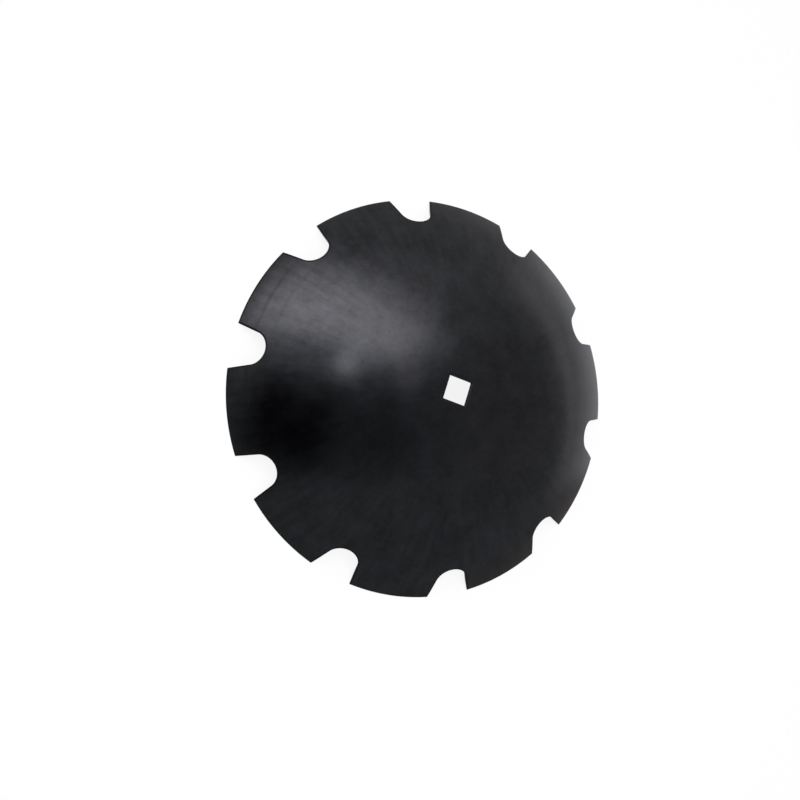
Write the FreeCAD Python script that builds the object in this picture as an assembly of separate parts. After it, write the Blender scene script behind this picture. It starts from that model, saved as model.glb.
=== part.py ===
"""Notched harrow disc blade: one dished plate with a square arbor hole.

Lengths in millimetres, angles in degrees. The blade lies dome up on its rim: the middle of
the rim circle is the origin, +Z runs out through the convex side, a land is centred on +X.
The plate lies between two spheres about one centre on the Z axis, below the rim.
"""
import FreeCAD
import Part
from math import acos, cos, degrees, radians, sin
import os

os.makedirs("parts", exist_ok=True)

# Driving dimensions
BLADE_DIAMETER = 660.0        # over the cutting edge, a 26 inch blade
PLATE_THICKNESS = 6.35        # quarter inch plate
DISH_DEPTH = 119.0            # hollow of the concave side, from the rim plane to its middle
EDGE_THICKNESS = 1.5          # blunt land left at the cutting edge
BEVEL_WIDTH = 22.0            # along the plate, ground on the concave side
NOTCH_COUNT = 10
NOTCH_DEPTH = 59.0            # along the plate, from the cutting edge to the notch bottom
NOTCH_BOTTOM_RADIUS = 26.5
NOTCH_FLARE = 15.0            # lean of each notch side away from the notch's middle line
HOLE_SIDE = 38.1              # square arbor hole, one and a half inches
HOLE_CORNER_RADIUS = 1.5
HOLE_TURN = -24.0             # from +X to the normal of one hole side
TOOL_CLEAR = 20.0             # how far each cutting tool runs past the plate

# The spheres, about one centre. The upper corner of the cutting edge lies on the outer sphere
# and sets the diameter. Its lower corner lies in the rim plane on a sphere one edge thickness
# smaller, in line with the centre, so that radius and the lean of the line settle together.
half_diameter = BLADE_DIAMETER / 2.0
crown_height = DISH_DEPTH + PLATE_THICKNESS - EDGE_THICKNESS
low_radius = (half_diameter ** 2 + crown_height ** 2) / (2.0 * crown_height)
for settling in range(20):
    low_rim = half_diameter * low_radius / (low_radius + EDGE_THICKNESS)
    low_radius = (low_rim ** 2 + crown_height ** 2) / (2.0 * crown_height)
outer_radius = low_radius + EDGE_THICKNESS
inner_radius = outer_radius - PLATE_THICKNESS
centre_z = crown_height - low_radius
edge_angle = acos(-centre_z / low_radius)
bevel_angle = edge_angle - BEVEL_WIDTH / inner_radius


def on_sphere(radius, angle):
    """Point of the XZ section at an angle (radians) from the top of a sphere."""
    return FreeCAD.Vector(radius * sin(angle), 0.0, centre_z + radius * cos(angle))


def dished_plate():
    """Whole blade before punching: plate between the spheres, bevelled on the concave side."""
    inner_top = on_sphere(inner_radius, 0.0)
    bevel_start = on_sphere(inner_radius, bevel_angle)
    low_edge = on_sphere(low_radius, edge_angle)
    outer_edge = on_sphere(outer_radius, edge_angle)
    outer_top = on_sphere(outer_radius, 0.0)
    section = Part.Wire([
        Part.Arc(inner_top, on_sphere(inner_radius, bevel_angle / 2.0), bevel_start).toShape(),
        Part.LineSegment(bevel_start, low_edge).toShape(),
        Part.LineSegment(low_edge, outer_edge).toShape(),
        Part.Arc(outer_edge, on_sphere(outer_radius, edge_angle / 2.0), outer_top).toShape(),
        Part.LineSegment(outer_top, inner_top).toShape(),
    ])
    face = Part.Face(section)
    return face.revolve(FreeCAD.Vector(0, 0, 0), FreeCAD.Vector(0, 0, 1), 360)


def notch_punch(azimuth):
    """Punch of one notch, square to the plate at the middle of the round notch bottom.

    Its outline is drawn in a plane with x across the notch and y outward, y = 0 at the
    centre of the round bottom.
    """
    punch_angle = edge_angle - (NOTCH_DEPTH - NOTCH_BOTTOM_RADIUS) / outer_radius
    flare = radians(NOTCH_FLARE)
    side_x = NOTCH_BOTTOM_RADIUS * cos(flare)
    side_y = -NOTCH_BOTTOM_RADIUS * sin(flare)
    reach = NOTCH_DEPTH + TOOL_CLEAR
    mouth_x = side_x + (reach - side_y) * sin(flare) / cos(flare)
    left_mouth = FreeCAD.Vector(-mouth_x, reach, 0)
    left_side = FreeCAD.Vector(-side_x, side_y, 0)
    bottom = FreeCAD.Vector(0, -NOTCH_BOTTOM_RADIUS, 0)
    right_side = FreeCAD.Vector(side_x, side_y, 0)
    right_mouth = FreeCAD.Vector(mouth_x, reach, 0)
    outline = Part.Wire([
        Part.LineSegment(left_mouth, left_side).toShape(),
        Part.Arc(left_side, bottom, right_side).toShape(),
        Part.LineSegment(right_side, right_mouth).toShape(),
        Part.LineSegment(right_mouth, left_mouth).toShape(),
    ])
    height = PLATE_THICKNESS + 2.0 * TOOL_CLEAR
    punch = Part.Face(outline).extrude(FreeCAD.Vector(0, 0, height))
    # drawn with its outward direction along +X, then tipped over the side of the sphere
    punch.translate(FreeCAD.Vector(0, 0, inner_radius - TOOL_CLEAR))
    punch.rotate(FreeCAD.Vector(0, 0, 0), FreeCAD.Vector(0, 0, 1), -90)
    punch.rotate(FreeCAD.Vector(0, 0, 0), FreeCAD.Vector(0, 1, 0), degrees(punch_angle))
    punch.translate(FreeCAD.Vector(0, 0, centre_z))
    punch.rotate(FreeCAD.Vector(0, 0, 0), FreeCAD.Vector(0, 0, 1), azimuth)
    return punch


def hole_punch():
    """Square punch of the arbor hole with its four small corner rounds."""
    height = PLATE_THICKNESS + 2.0 * TOOL_CLEAR
    corner = FreeCAD.Vector(-HOLE_SIDE / 2.0, -HOLE_SIDE / 2.0, DISH_DEPTH - TOOL_CLEAR)
    punch = Part.makeBox(HOLE_SIDE, HOLE_SIDE, height, corner)
    upright = []
    for edge in punch.Edges:
        if abs(edge.tangentAt(edge.FirstParameter).z) > 0.999:
            upright.append(edge)
    punch = punch.makeFillet(HOLE_CORNER_RADIUS, upright)
    punch.rotate(FreeCAD.Vector(0, 0, 0), FreeCAD.Vector(0, 0, 1), HOLE_TURN)
    return punch


blade = dished_plate()
pitch = 360.0 / NOTCH_COUNT
punches = [hole_punch()]
for number in range(NOTCH_COUNT):
    punches.append(notch_punch(pitch * (number + 0.5)))
blade = blade.cut(punches)
if blade.ShapeType != "Solid":
    blade = blade.Solids[0]
blade.exportStep("parts/disc_blade.step")
print("disc_blade: solid", blade.isValid(), "volume %.0f mm3" % blade.Volume, blade.BoundBox)
print("inner radius %.2f, outer radius %.2f" % (inner_radius, outer_radius))
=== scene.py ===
"""Looks of the notched harrow disc blade: a dished steel plate, dome up on a pale floor.

Lengths in metres, in the frame of the CAD: +Z out through the convex side, rim on z = 0.
"""
from math import acos, atan2, cos, pi, radians, sin

import bpy
import numpy as np
from mathutils import Matrix, Vector, noise


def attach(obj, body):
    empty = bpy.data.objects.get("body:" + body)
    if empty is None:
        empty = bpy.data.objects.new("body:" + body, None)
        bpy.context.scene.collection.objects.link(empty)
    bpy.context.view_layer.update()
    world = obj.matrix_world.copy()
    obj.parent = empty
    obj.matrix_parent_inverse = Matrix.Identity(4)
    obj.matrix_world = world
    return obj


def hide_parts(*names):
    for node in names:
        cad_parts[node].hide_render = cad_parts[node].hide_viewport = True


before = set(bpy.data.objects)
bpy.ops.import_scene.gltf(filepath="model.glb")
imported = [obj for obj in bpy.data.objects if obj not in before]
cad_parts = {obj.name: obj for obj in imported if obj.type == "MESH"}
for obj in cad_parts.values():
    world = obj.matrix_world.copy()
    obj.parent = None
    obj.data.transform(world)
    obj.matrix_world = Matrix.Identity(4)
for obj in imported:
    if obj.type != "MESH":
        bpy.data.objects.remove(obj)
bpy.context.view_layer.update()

# Sizes of the blade, as its source has them
DIAMETER = 0.660
THICKNESS = 0.00635
DISH_DEPTH = 0.119
EDGE_THICKNESS = 0.0015
BEVEL_WIDTH = 0.022
NOTCHES = 10
NOTCH_DEPTH = 0.059
NOTCH_RADIUS = 0.0265
NOTCH_FLARE = radians(15.0)
HOLE_SIDE = 0.0381
HOLE_CORNER = 0.0015
HOLE_TURN = radians(-24.0)

# Small forms that only the looks have
EDGE_ROUND = 0.0004           # small round on every sheared edge
EDGE_STRIP = 0.0034           # strip along the outer edge, in from it, painted near black as shade
WAVE_HEIGHT = 0.00010         # unevenness of a hot-pressed plate
WAVE_SCALE = 9.0
RIPPLE_HEIGHT = 0.00003       # finer unevenness on top of it
RIPPLE_SCALE = 31.0
WAVE_FADE = 0.05              # angle before the rim over which both fade out

# Rows and columns of the mesh, with their lengths measured along the plate
ARC_STEPS = 15                # along half of a notch's round bottom
SIDE_STEPS = 9                # along a notch's straight side
LAND_STEPS = 26               # along the rim between two notches
FIRST_CIRCLE = 0.060          # from the plate's middle to the first row that is a circle
LAST_CIRCLE = 0.268           # and to the last one, short of the notches
BEND_REACH = 0.0007           # a row this far before and after the start of the bevel
ROW_GAP = 0.00002             # least step between rows that a notch pushes together
HOLE_ROWS = 7                 # from the hole to the first plain circle
PLAIN_ROWS = 22               # between the plain circles
NOTCH_ROWS = 9                # from the last plain circle to the bevel
BEVEL_ROWS = 9                # from the bevel to the outer edge
EDGE_ROWS = 3                 # last rows of a face: flat edge and its round
WALL_STEPS = 3                # through the plate, on every cut wall

crown_height = DISH_DEPTH + THICKNESS - EDGE_THICKNESS
low_radius = DIAMETER
for settling in range(40):
    low_rim = DIAMETER / 2 * low_radius / (low_radius + EDGE_THICKNESS)
    low_radius = (low_rim ** 2 + crown_height ** 2) / (2 * crown_height)
outer_radius = low_radius + EDGE_THICKNESS
inner_radius = outer_radius - THICKNESS
centre = np.array([0.0, 0.0, crown_height - low_radius])
edge_angle = acos(-centre[2] / low_radius)
bevel_angle = edge_angle - BEVEL_WIDTH / inner_radius
punch_angle = edge_angle - (NOTCH_DEPTH - NOTCH_RADIUS) / outer_radius

# The bevel is a cone: the straight line of the section from bevel_in to bevel_out
bevel_in = inner_radius * np.array([sin(bevel_angle), cos(bevel_angle)])
bevel_out = low_radius * np.array([sin(edge_angle), cos(edge_angle)])
bevel_way = (bevel_out - bevel_in) / np.linalg.norm(bevel_out - bevel_in)
bevel_normal = np.array([-bevel_way[1], bevel_way[0]])
bevel_offset = float(bevel_normal @ bevel_in)


def outer_face(angle):
    """Distance of the convex face from the sphere centre, at an angle from the top."""
    return np.full(np.shape(angle), outer_radius)


def inner_face(angle):
    """The same for the concave face with its bevel."""
    angle = np.asarray(angle, float)
    on_bevel = bevel_offset / (bevel_normal[0] * np.sin(angle) + bevel_normal[1] * np.cos(angle))
    return np.where(angle > bevel_angle, on_bevel, inner_radius)


def notch_half(inset, face, drop):
    """Half of a notch's edge as (azimuth, angle), from its bottom to the rim.

    inset moves the edge into the plate, drop moves the face towards the plate's middle.
    """
    rim = edge_angle - inset / outer_radius
    radius = NOTCH_RADIUS + inset
    out = np.array([sin(punch_angle), 0.0, cos(punch_angle)])
    down = np.array([cos(punch_angle), 0.0, -sin(punch_angle)])
    across = np.array([0.0, 1.0, 0.0])
    start_u = radius * cos(NOTCH_FLARE)
    start_v = -radius * sin(NOTCH_FLARE)

    def on_face(u, v):
        """Where the punch's line at (u, v) meets the face."""
        base = v * down + u * across
        reach = outer_radius
        for settling in range(12):
            point = base + reach * out
            angle = atan2(float(np.hypot(point[0], point[1])), float(point[2]))
            wanted = float(face(angle)) + drop
            reach += wanted - float(np.linalg.norm(point))
        return atan2(point[1], point[0]), angle

    def on_side(length):
        """Point of the straight side, at a length from the round bottom."""
        return on_face(start_u + length * sin(NOTCH_FLARE), start_v + length * cos(NOTCH_FLARE))

    turns = np.linspace(0.0, pi / 2 - NOTCH_FLARE, ARC_STEPS)
    points = [on_face(radius * sin(turn), -radius * cos(turn)) for turn in turns]
    low, high = 0.0, 2 * NOTCH_DEPTH
    for halving in range(40):
        middle = (low + high) / 2
        if on_side(middle)[1] < rim:
            low = middle
        else:
            high = middle
    for share in np.linspace(0.0, 1.0, SIDE_STEPS + 1)[1:]:
        points.append(on_side(share * low))
    return np.array(points)


def rim_line(inset, face, drop):
    """The whole outer edge of the plate as (azimuth, angle), once round."""
    half = notch_half(inset, face, drop)
    pitch = 2 * pi / NOTCHES
    land = np.linspace(half[-1, 0], pitch - half[-1, 0], LAND_STEPS + 1)[1:-1]
    cell = np.vstack([
        np.c_[-half[::-1, 0], half[::-1, 1]],
        half[1:],
        np.c_[land, np.full(len(land), half[-1, 1])],
    ])
    line = [cell + [pitch * (number + 0.5), 0.0] for number in range(NOTCHES)]
    return np.vstack(line)


def hole_line(azimuths, inset):
    """Distance of the hole's edge from the axis, for each azimuth."""
    half = HOLE_SIDE / 2 + inset
    corner = HOLE_CORNER + inset
    local = (azimuths - HOLE_TURN + pi / 4) % (pi / 2) - pi / 4
    flat = half / np.cos(local)
    core = half - corner
    around = np.abs(local)
    along = core * (np.cos(around) + np.sin(around))
    rounded = along + np.sqrt(np.maximum(along ** 2 - 2 * core ** 2 + corner ** 2, 0.0))
    return np.where(flat * np.sin(around) > core, rounded, flat)


def waves(points):
    """Slight unevenness of the plate, in metres along its normal, never outward."""
    lift = np.zeros(len(points))
    for index, point in enumerate(points):
        spot = Vector(point)
        wave = WAVE_HEIGHT * noise.noise(spot * WAVE_SCALE)
        ripple = RIPPLE_HEIGHT * noise.noise(spot * RIPPLE_SCALE)
        lift[index] = wave + ripple - (WAVE_HEIGHT + RIPPLE_HEIGHT)
    return lift


def points_at(azimuth, angle, reach):
    """Points at an azimuth, an angle from the top and a distance from the sphere centre."""
    level = np.sin(angle) * reach
    height = np.cos(angle) * reach
    return np.c_[level * np.cos(azimuth), level * np.sin(azimuth), height] + centre


def edge_inset(share):
    """How far a round's point lies in from the wall and below the face, at a share of its turn."""
    turn = share * pi / 2
    return EDGE_ROUND * (1 - sin(turn)), EDGE_ROUND * (1 - cos(turn))


def face_rows(face, way):
    """Rows of one face from the hole to the rim, rounds included.

    way is -1 for the outer face, whose plate lies nearer the sphere centre, 1 for the inner.
    """
    rows = []
    flat_edge = rim_line(EDGE_ROUND, face, 0.0)
    azimuth, end = rim_line(EDGE_STRIP, face, 0.0).T

    # the hole's round, then rows that turn from a square into a circle
    for share in (1.0, 0.5):
        inset, drop = edge_inset(share)
        angle = np.arcsin(hole_line(azimuth, inset) / outer_radius)
        rows.append(points_at(azimuth, angle, face(angle) + way * drop))
    start = np.arcsin(hole_line(azimuth, EDGE_ROUND) / outer_radius)
    circle = FIRST_CIRCLE / outer_radius
    for share in np.linspace(0.0, 1.0, HOLE_ROWS)[:-1]:
        angle = start + (circle - start) * share
        rows.append(points_at(azimuth, angle, face(angle)))

    # plain circles
    last_circle = LAST_CIRCLE / outer_radius
    for share in np.linspace(0.0, 1.0, PLAIN_ROWS)[:-1]:
        angle = np.full(len(azimuth), circle + (last_circle - circle) * share)
        rows.append(points_at(azimuth, angle, face(angle)))

    # rows out to the bevel and over it, where the notches push them together
    bend = BEND_REACH / outer_radius
    gap = ROW_GAP / outer_radius
    wanted = []
    for share in np.linspace(0.0, 1.0, NOTCH_ROWS):
        wanted.append(last_circle + (np.minimum(bevel_angle - bend, end) - last_circle) * share)
    wanted.append(np.full(len(azimuth), bevel_angle))
    wanted.append(np.full(len(azimuth), bevel_angle + bend))
    for share in np.linspace(0.0, 1.0, BEVEL_ROWS)[1:]:
        wanted.append(bevel_angle + bend + (end - bevel_angle - bend) * share)
    for index, angle in enumerate(wanted):
        limit = end - gap * (len(wanted) - 1 - index)
        angle = np.minimum(angle, limit)
        rows.append(points_at(azimuth, angle, face(angle)))

    # the flat edge and the outer round
    rows.append(points_at(flat_edge[:, 0], flat_edge[:, 1], face(flat_edge[:, 1])))
    for share in (0.5, 1.0):
        inset, drop = edge_inset(share)
        azimuth, angle = rim_line(inset, face, way * drop).T
        rows.append(points_at(azimuth, angle, face(angle) + way * drop))
    return rows


def wall_rows(first, last):
    """Rows of a cut wall, between the rows of the two faces that it joins."""
    return [first + (last - first) * step / WALL_STEPS for step in range(1, WALL_STEPS)]


def build_blade():
    """The plate as one closed grid: columns run round it, rows run once round its section."""
    top = face_rows(outer_face, -1.0)
    under = face_rows(inner_face, 1.0)
    rim_wall = wall_rows(top[-1], under[-1])
    hole_wall = wall_rows(under[0], top[0])
    grid = np.array(top + rim_wall + under[::-1] + hole_wall)
    count_rows, count_columns = grid.shape[:2]
    points = grid.reshape(-1, 3)
    away = points - centre
    radius = np.linalg.norm(away, axis=1)
    before_rim = edge_angle - np.arccos(away[:, 2] / radius)
    inside_rim = np.clip(before_rim / WAVE_FADE, 0.0, 1.0)
    points = points + away / radius[:, None] * (waves(points) * inside_rim)[:, None]

    index = np.arange(count_rows * count_columns).reshape(count_rows, count_columns)
    right = np.roll(index, -1, axis=1)
    below = np.roll(index, -1, axis=0)
    corner = np.roll(right, -1, axis=0)
    quads = np.stack([index, below, corner, right], axis=-1).reshape(-1, 4)
    mesh = bpy.data.meshes.new("blade")
    mesh.from_pydata(points.tolist(), [], quads.tolist())
    mesh.update()

    # the strip painted near black as shade along the rim is the outer wall with the flat edge and
    # the round of either face
    dull = np.zeros((count_rows, count_columns), np.float32)
    first_dull = len(top) - EDGE_ROWS
    end_dull = len(top) + len(rim_wall) + EDGE_ROWS
    dull[first_dull:end_dull] = 1.0
    mesh.attributes.new("outer_edge", "FLOAT", "POINT").data.foreach_set("value", dull.ravel())
    for polygon in mesh.polygons:
        polygon.use_smooth = True
    blade = bpy.data.objects.new("blade", mesh)
    bpy.context.scene.collection.objects.link(blade)
    return blade


blade = build_blade()
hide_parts("disc_blade")
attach(blade, "root")


def toward(azimuth, elevation):
    """Unit vector at an azimuth and an elevation in degrees."""
    azimuth = radians(azimuth)
    elevation = radians(elevation)
    return Vector((cos(elevation) * cos(azimuth), cos(elevation) * sin(azimuth), sin(elevation)))


# Colour sockets of the Mix node, which its names don't tell apart
MIX_LOW = 6
MIX_HIGH = 7
MIX_RESULT = 2

# Range that most of a fractal noise has
CLOUD_LOW = 0.30
CLOUD_HIGH = 0.70


class Nodes:
    """Short calls that add nodes to one tree.

    A value is a socket, or else a number, a vector or a colour.
    """

    def __init__(self, tree):
        self.tree = tree

    def add(self, kind, **settings):
        node = self.tree.nodes.new(kind)
        for name, value in settings.items():
            setattr(node, name, value)
        return node

    def feed(self, value, socket):
        """Links a socket to a value that is a socket, or else sets it."""
        if isinstance(value, bpy.types.NodeSocket):
            self.tree.links.new(value, socket)
        else:
            socket.default_value = value

    def maths(self, operation, *values):
        node = self.add("ShaderNodeMath", operation=operation)
        for socket, value in zip(node.inputs, values):
            self.feed(value, socket)
        return node.outputs["Value"]

    def vectors(self, operation, *values):
        node = self.add("ShaderNodeVectorMath", operation=operation)
        for socket, value in zip(node.inputs, values):
            self.feed(value, socket)
        return node.outputs["Value" if operation in ("DOT_PRODUCT", "LENGTH") else "Vector"]

    def times(self, first, *others):
        for other in others:
            first = self.maths("MULTIPLY", first, other)
        return first

    def plus(self, first, *others):
        for other in others:
            first = self.maths("ADD", first, other)
        return first

    def ramp(self, value, low, high, to_low=0.0, to_high=1.0):
        """Runs softly from to_low, where the value is low, to to_high, where it is high."""
        node = self.add("ShaderNodeMapRange", interpolation_type="SMOOTHSTEP")
        self.feed(value, node.inputs["Value"])
        node.inputs["From Min"].default_value = low
        node.inputs["From Max"].default_value = high
        node.inputs["To Min"].default_value = to_low
        node.inputs["To Max"].default_value = to_high
        return node.outputs["Result"]

    def side(self, way, normal, start, end):
        """0 to 1 as a direction's share along a normal runs from start to end."""
        return self.ramp(self.vectors("DOT_PRODUCT", way, normal), start, end)

    def lobe(self, way, azimuth, elevation, inner, outer):
        """1 within inner degrees of a direction, 0 beyond outer degrees."""
        return self.side(way, toward(azimuth, elevation), cos(radians(outer)), cos(radians(inner)))

    def blend(self, share, low, high):
        """Colour low where share is 0, high where it is 1."""
        node = self.add("ShaderNodeMix", data_type="RGBA")
        self.feed(share, node.inputs["Factor"])
        self.feed(low, node.inputs[MIX_LOW])
        self.feed(high, node.inputs[MIX_HIGH])
        return node.outputs[MIX_RESULT]

    def cloud(self, place, scale, detail, rough=0.6):
        """Fractal noise at a place."""
        node = self.add("ShaderNodeTexNoise")
        node.inputs["Scale"].default_value = scale
        node.inputs["Detail"].default_value = detail
        node.inputs["Roughness"].default_value = rough
        self.feed(place, node.inputs["Vector"])
        return node.outputs["Fac"]

    def vary(self, cloud, low, high):
        """low to high over the range that most of a cloud has."""
        return self.ramp(cloud, CLOUD_LOW, CLOUD_HIGH, low, high)


# Duller rings and band near the rim: two rings and a band, with their distances from the axis
FIRST_RING = 0.3035
SECOND_RING = 0.2790
RING_CORE = 0.0004            # half of the width at full strength
BAND_START = 0.305
BAND_END = 0.333
MARKED_SIDE = 153             # azimuth of the side where the marks are plainest
METAL = (0.080, 0.081, 0.084, 1)
BLACK = (0, 0, 0, 1)


def black_steel():
    """Blackened steel: a dark mirror, mottled, with faint streaks that run outward, and painted
    shade along its sheared edge.
    """
    material = bpy.data.materials.new("satin_black_steel")
    material.use_nodes = True
    shader = material.node_tree.nodes["Principled BSDF"]
    steel = Nodes(material.node_tree)

    # distance from the axis, and a point on a circle for streaks that run outward
    place = steel.add("ShaderNodeTexCoord").outputs["Object"]
    flat = steel.vectors("MULTIPLY", place, (1, 1, 0))
    reach = steel.vectors("LENGTH", flat)
    outward = steel.vectors("NORMALIZE", flat)
    streak_place = steel.vectors("MULTIPLY_ADD", place, (0.6, 0.6, 0.6), outward)

    mottle = steel.cloud(place, scale=24.0, detail=6.0, rough=0.62)
    speckle = steel.cloud(place, scale=170.0, detail=4.0, rough=0.7)
    blotch = steel.cloud(place, scale=75.0, detail=4.0, rough=0.7)
    grain = steel.cloud(place, scale=620.0, detail=3.0)
    streaks = steel.cloud(streak_place, scale=22.0, detail=4.0, rough=0.55)

    def ring(radius, half_width, strength):
        """Thin dull ring, soft on both sides."""
        off = steel.maths("ABSOLUTE", steel.maths("SUBTRACT", reach, radius))
        return steel.ramp(off, RING_CORE, half_width, strength, 0.0)

    # two thin dull rings near the rim, and a duller band outside the first,
    # plainest on the lands of one side
    first = ring(FIRST_RING, 0.0036, 0.55)
    second = ring(SECOND_RING, 0.0034, 0.20)
    band = steel.ramp(reach, BAND_START, BAND_END, 0.0, 0.95)
    facing = steel.vectors("DOT_PRODUCT", outward, toward(MARKED_SIDE, 0))
    marked = steel.ramp(facing, 0.86, 0.985, 0.12, 1.0)
    patchy = steel.ramp(mottle, 0.30, 0.62, 0.35, 1.0)
    marks = steel.times(steel.plus(first, second, band), marked, patchy)

    # how much of the light the steel mirrors: mottled, streaked away from the middle,
    # less on the marks and almost none on the sheared edge, which is painted shade along the rim
    streaked = steel.times(
        steel.vary(streaks, -0.05, 0.055),
        steel.ramp(reach, 0.10, 0.27, 0.15, 1.0),
    )
    gloss = steel.plus(
        steel.vary(mottle, 0.43, 0.56),
        streaked,
        steel.vary(blotch, -0.035, 0.035),
        steel.vary(speckle, -0.03, 0.03),
    )
    gloss = steel.maths("SUBTRACT", gloss, steel.times(marks, 0.20))
    # the sheared edge is a real duller edge, and on top of that it is painted near black: painted
    # shade along the whole rim
    sheared = steel.add("ShaderNodeAttribute", attribute_name="outer_edge").outputs["Fac"]
    rim_shade = steel.times(sheared, steel.vary(speckle, 0.75, 1.0))
    gloss = steel.times(gloss, steel.maths("SUBTRACT", 1.0, rim_shade))
    steel.feed(steel.blend(gloss, BLACK, METAL), shader.inputs["Base Color"])
    shader.inputs["Metallic"].default_value = 1.0

    rough = steel.plus(
        steel.vary(mottle, 0.165, 0.215),
        steel.vary(streaks, -0.006, 0.008),
        steel.times(marks, 0.05),
    )
    steel.feed(rough, shader.inputs["Roughness"])

    height = steel.plus(
        steel.times(speckle, 0.5),
        steel.times(streaks, 0.12),
        steel.times(grain, 0.12),
    )
    bump = steel.add("ShaderNodeBump")
    bump.inputs["Strength"].default_value = 0.30
    bump.inputs["Distance"].default_value = 0.0003
    steel.feed(height, bump.inputs["Height"])
    steel.feed(bump.outputs["Normal"], shader.inputs["Normal"])
    return material


blade.data.materials.append(black_steel())


# Camera, as the photograph has it. Up in its picture is about azimuth 85, right about -5.
CAMERA_AIM = Vector((-0.04995, -0.0032, 0.0))
CAMERA_AZIMUTH = -174.629
CAMERA_ELEVATION = 70.574
CAMERA_DISTANCE = 1.21577
CAMERA_ROLL = radians(79.555)
CAMERA_LENS = 33.294
FRAME_WIDTH = 36.0
FAR_CLIP = 50.0


def photo_camera():
    """Camera that sees the blade as the photograph does."""
    back = toward(CAMERA_AZIMUTH, CAMERA_ELEVATION)
    level = Vector((0, 0, 1)).cross(back).normalized()
    upright = back.cross(level)
    right = level * cos(CAMERA_ROLL) + upright * sin(CAMERA_ROLL)
    above = back.cross(right)
    data = bpy.data.cameras.new("camera")
    data.lens = CAMERA_LENS
    data.sensor_width = FRAME_WIDTH
    data.sensor_fit = "HORIZONTAL"
    data.clip_end = FAR_CLIP
    camera = bpy.data.objects.new("camera", data)
    bpy.context.scene.collection.objects.link(camera)
    turn = Matrix((right, above, back)).transposed().to_4x4()
    camera.matrix_world = Matrix.Translation(CAMERA_AIM + back * CAMERA_DISTANCE) @ turn
    bpy.context.scene.camera = camera


photo_camera()


FLOOR_HALF = 30.0
FLOOR_DROP = 0.0002           # below the rim, so that the two don't share a plane
FLOOR_GLOW_SEEN = 0.88        # share of its own glow in what the camera sees of the floor
FLOOR_GLOW_MIRRORED = 0.12    # and in what the steel mirrors of it
FLOOR_SEEN = (0.84, 0.84, 0.84, 1)
FLOOR_MIRRORED = (0.55, 0.55, 0.56, 1)
FLOOR_BEHIND = (0.36, 0.35, 0.36, 1)
FLOOR_IN_FRONT = (0.19, 0.165, 0.165, 1)


def pale_floor():
    """Large pale floor that shows near white and still keeps the blade's shadow."""
    corners = [(-1, -1), (1, -1), (1, 1), (-1, 1)]
    mesh = bpy.data.meshes.new("floor")
    mesh.from_pydata([(x * FLOOR_HALF, y * FLOOR_HALF, 0) for x, y in corners], [], [(0, 1, 2, 3)])
    floor = bpy.data.objects.new("floor", mesh)
    floor.location.z = -FLOOR_DROP
    bpy.context.scene.collection.objects.link(floor)

    material = bpy.data.materials.new("pale_floor")
    material.use_nodes = True
    surface = material.node_tree.nodes["Material Output"].inputs["Surface"]
    shader = material.node_tree.nodes["Principled BSDF"]
    shader.inputs["Roughness"].default_value = 0.8
    page = Nodes(material.node_tree)
    glow = page.add("ShaderNodeEmission")
    glow.inputs["Strength"].default_value = 1.0
    rays = page.add("ShaderNodeLightPath").outputs
    mirrored = page.maths("MAXIMUM", rays["Is Glossy Ray"], rays["Is Transmission Ray"])
    place = page.add("ShaderNodeTexCoord").outputs["Object"]
    bearing = page.vectors("NORMALIZE", place)

    # the ground that the steel mirrors is dimmer, more so behind the blade and most of all
    # in front of it, a little to the right
    behind = page.lobe(bearing, 75, 0, 22, 40)
    in_front = page.lobe(bearing, -70, 0, 34, 46)
    ground = page.blend(mirrored, FLOOR_SEEN, FLOOR_MIRRORED)
    ground = page.blend(page.times(behind, mirrored), ground, FLOOR_BEHIND)
    ground = page.blend(page.times(in_front, mirrored), ground, FLOOR_IN_FRONT)
    page.feed(ground, shader.inputs["Base Color"])

    glow_seen = page.times(rays["Is Camera Ray"], FLOOR_GLOW_SEEN)
    glow_mirrored = page.times(mirrored, FLOOR_GLOW_MIRRORED)
    both = page.add("ShaderNodeMixShader")
    page.feed(page.plus(glow_seen, glow_mirrored), both.inputs["Fac"])
    page.feed(shader.outputs["BSDF"], both.inputs[1])
    page.feed(glow.outputs["Emission"], both.inputs[2])
    page.feed(both.outputs["Shader"], surface)
    mesh.materials.append(material)


pale_floor()


UP = (0, 0, 1)
ROOM_BACK = (0.59, 0.60, 0.64, 1)
ROOM_FRONT = (0.38, 0.40, 0.43, 1)
WALL = (0.88, 0.84, 0.90, 1)
DIM_STRIP = (0.96, 0.99, 1.12, 1)
ZENITH_GLOW = (1.05, 1.04, 1.12, 1)
SOFT_LIGHT = (3.36, 3.32, 3.54, 1)
SMALL_LIGHT = (4.0, 4.2, 4.4, 1)
PAGE_WHITE = (0.98, 0.98, 0.98, 1)

# Soft round patches of the room: azimuth and elevation of the middle, degrees from there to
# the end of the full colour and to the end of the patch, and the colour
ROOM_PATCHES = (
    (270, 88, 5, 40, (0.26, 0.27, 0.30, 1)),      # dim overhead
    (208, 66, 4, 30, (0.18, 0.19, 0.21, 1)),      # dimmer high on the left, towards the front
    (186, 39, 4, 30, (0.02, 0.02, 0.035, 1)),     # near black on the left
    (-10, 37, 8, 46, (0.38, 0.38, 0.40, 1)),      # dim on the right, above the wall
    (78, 42, 4, 22, (0.86, 0.86, 0.92, 1)),       # pale at the back
)


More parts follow.
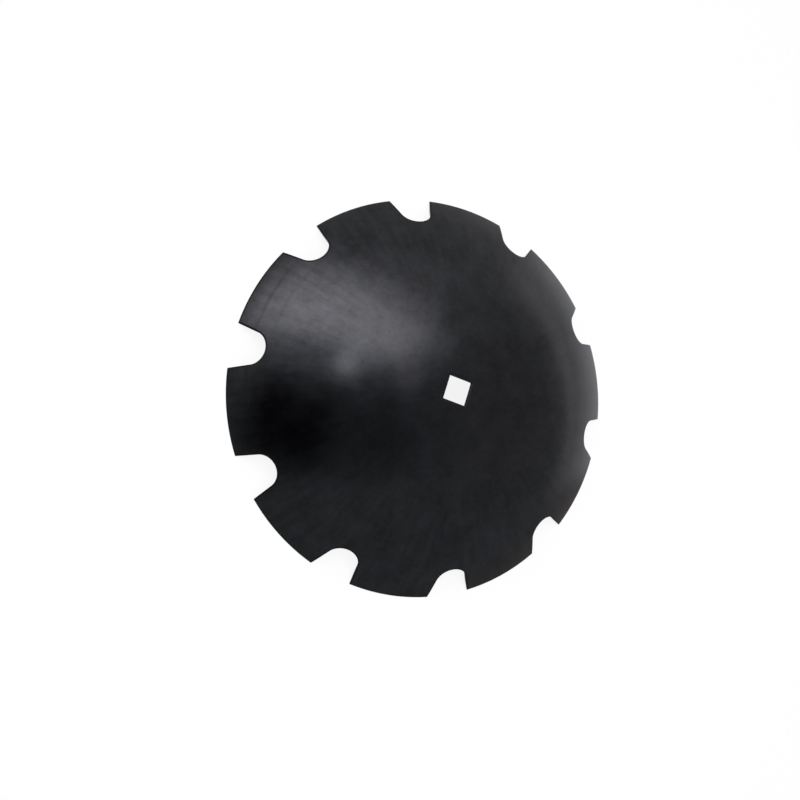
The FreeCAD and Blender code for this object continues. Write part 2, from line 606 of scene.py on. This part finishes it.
def studio():
    """Dim studio room round the blade, with one large soft light high on the left."""
    world = bpy.data.worlds.new("studio")
    world.use_nodes = True
    bpy.context.scene.world = world
    shade = world.node_tree.nodes["Background"]
    sky = Nodes(world.node_tree)
    way = sky.add("ShaderNodeTexCoord").outputs["Generated"]

    room = sky.blend(sky.side(way, toward(265, 0), -0.6, 0.8), ROOM_BACK, ROOM_FRONT)
    for azimuth, elevation, inner, outer, colour in ROOM_PATCHES:
        room = sky.blend(sky.lobe(way, azimuth, elevation, inner, outer), room, colour)

    # pale wall low on the right, with a fairly firm upper edge
    wall = sky.times(
        sky.side(way, toward(60, -75), -0.05, 0.03),
        sky.lobe(way, 6, 0, 26, 38),
    )
    room = sky.blend(wall, room, WALL)

    # the soft light: firm lower left edge, long fade to the right, soft upper and lower ends,
    # a dimmer strip along the firm edge and a small second light in that strip
    spread = sky.times(
        sky.side(way, toward(203, 33), -0.09, 0.41),
        sky.side(way, UP, -0.04, 0.46),
    )
    strip = sky.times(
        spread,
        sky.side(way, toward(63, -16), -0.28, -0.13),
        sky.side(way, toward(100, -16), -0.25, 0.10),
        sky.side(way, UP, 0.30, 0.75),
    )
    light = sky.times(
        spread,
        sky.side(way, toward(59, -12), -0.068, 0.078),
        sky.side(way, toward(103, -14), -0.05, 0.22),
    )
    room = sky.blend(strip, room, DIM_STRIP)
    room = sky.blend(sky.lobe(way, 78, 79, 0, 9.5), room, ZENITH_GLOW)
    room = sky.blend(light, room, SOFT_LIGHT)
    room = sky.blend(sky.lobe(way, 140, 62, 1, 6.3), room, SMALL_LIGHT)

    # the camera itself sees a plain white page
    seen = sky.add("ShaderNodeLightPath").outputs["Is Camera Ray"]
    sky.feed(sky.blend(seen, room, PAGE_WHITE), shade.inputs["Color"])
    shade.inputs["Strength"].default_value = 1.0


studio()


LAMP_SIZE = 2.4
LAMP_HEIGHT = 2.6
LAMP_WATTS = 42.0


def overhead():
    """Even lamp above, which gives the ground shadow its place and leaves no reflection."""
    data = bpy.data.lights.new("overhead", "AREA")
    data.shape = "SQUARE"
    data.size = LAMP_SIZE
    data.energy = LAMP_WATTS
    lamp = bpy.data.objects.new("overhead", data)
    lamp.location = (0.0, 0.0, LAMP_HEIGHT)
    bpy.context.scene.collection.objects.link(lamp)
    lamp.visible_camera = False
    lamp.visible_glossy = False


overhead()

scene = bpy.context.scene
scene.view_settings.view_transform = "Standard"
